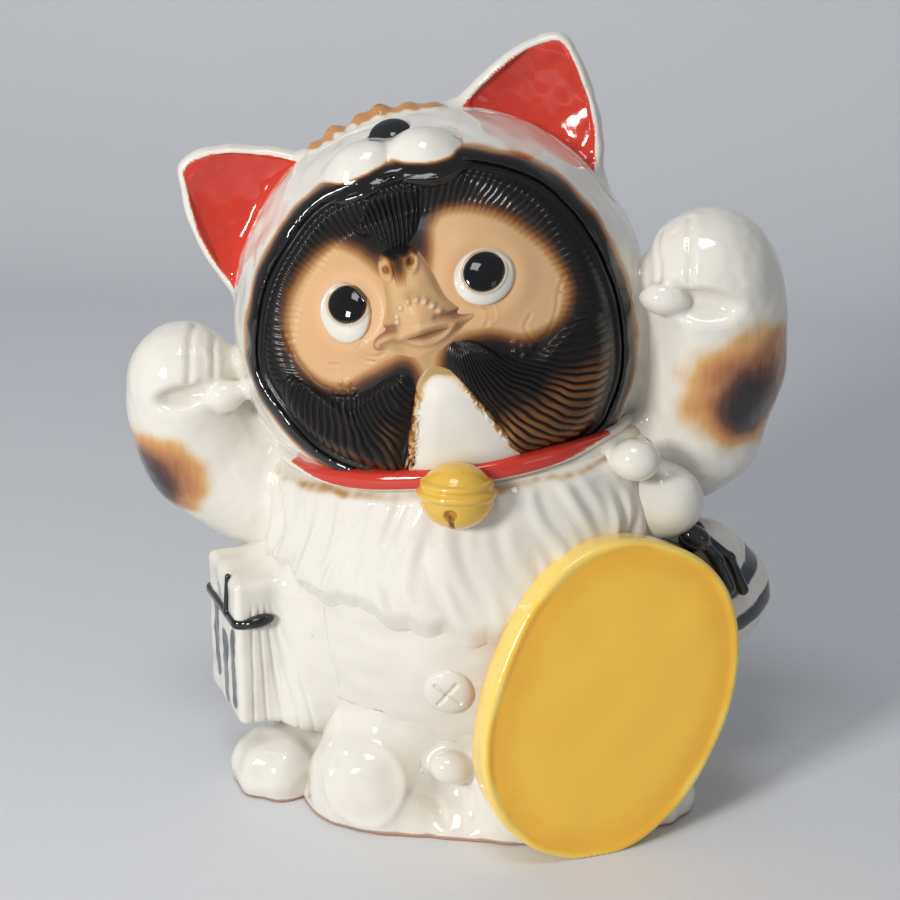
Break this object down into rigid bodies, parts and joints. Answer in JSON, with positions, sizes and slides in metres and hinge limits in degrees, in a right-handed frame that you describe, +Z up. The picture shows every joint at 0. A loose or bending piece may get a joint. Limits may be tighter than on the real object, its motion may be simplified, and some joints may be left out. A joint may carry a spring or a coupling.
{
  "type": "tanuki statue",
  "caption": "Glazed ceramic tanuki figure dressed as a beckoning cat, paws raised, leaning an oval coin on its belly; stands on its foot ring.",
  "frame": {"origin": "centre of the body's foot ring, on the floor", "axes": "+Z up, front of the figure toward -Y, the figure's left (viewer's right) toward +X"},
  "size_m": [0.2643, 0.2076, 0.3023],
  "materials": {
    "cream_glaze": "glossy cream-white glaze over clay",
    "face_glaze": "satin tan glaze shading to black combed fur",
    "black_glaze": "glossy black glaze",
    "fur_glaze": "combed black-brown glaze",
    "snout_glaze": "satin tan-brown glaze",
    "eye_glaze": "glossy white lid and black pupil glaze",
    "ear_glaze": "glossy red glaze inside, cream rim",
    "crest_glaze": "brown glaze",
    "red_glaze": "glossy red glaze",
    "bell_glaze": "glossy yellow glaze",
    "koban_glaze": "glossy yellow glaze",
    "ruff_glaze": "glossy cream-white glaze over combed clay",
    "paw_glaze": "glossy cream-white glaze with a brown patch",
    "ledger_glaze": "cream glaze with blue-grey brush bands",
    "flask_glaze": "cream glaze with blue-grey brush bands",
    "cord_glaze": "black glaze"
  },
  "bodies": {
    "root": {"body_shell": "cream_glaze", "head_hood": "cream_glaze", "face_mask": "face_glaze", "left_ear": "ear_glaze", "right_ear": "ear_glaze", "hood_muzzle": "cream_glaze", "hood_nose": "black_glaze", "hood_crest": "crest_glaze", "left_eye": "eye_glaze", "right_eye": "eye_glaze", "snout": "snout_glaze", "forehead_tuft": "fur_glaze", "left_cheek_tuft": "fur_glaze", "right_cheek_tuft": "fur_glaze", "chin_patch": "cream_glaze", "collar": "red_glaze", "chest_ruff": "ruff_glaze", "bell": "bell_glaze", "left_arm": "paw_glaze", "right_arm": "paw_glaze", "navel": "cream_glaze", "pouch": "cream_glaze", "pouch_knob": "cream_glaze", "left_foot": "cream_glaze", "right_foot": "cream_glaze", "koban": "koban_glaze", "ledger": "ledger_glaze", "ledger_cord": "cord_glaze", "flask": "flask_glaze", "flask_stopper": "cream_glaze", "flask_cord": "cord_glaze"}
  },
  "joints": []
}
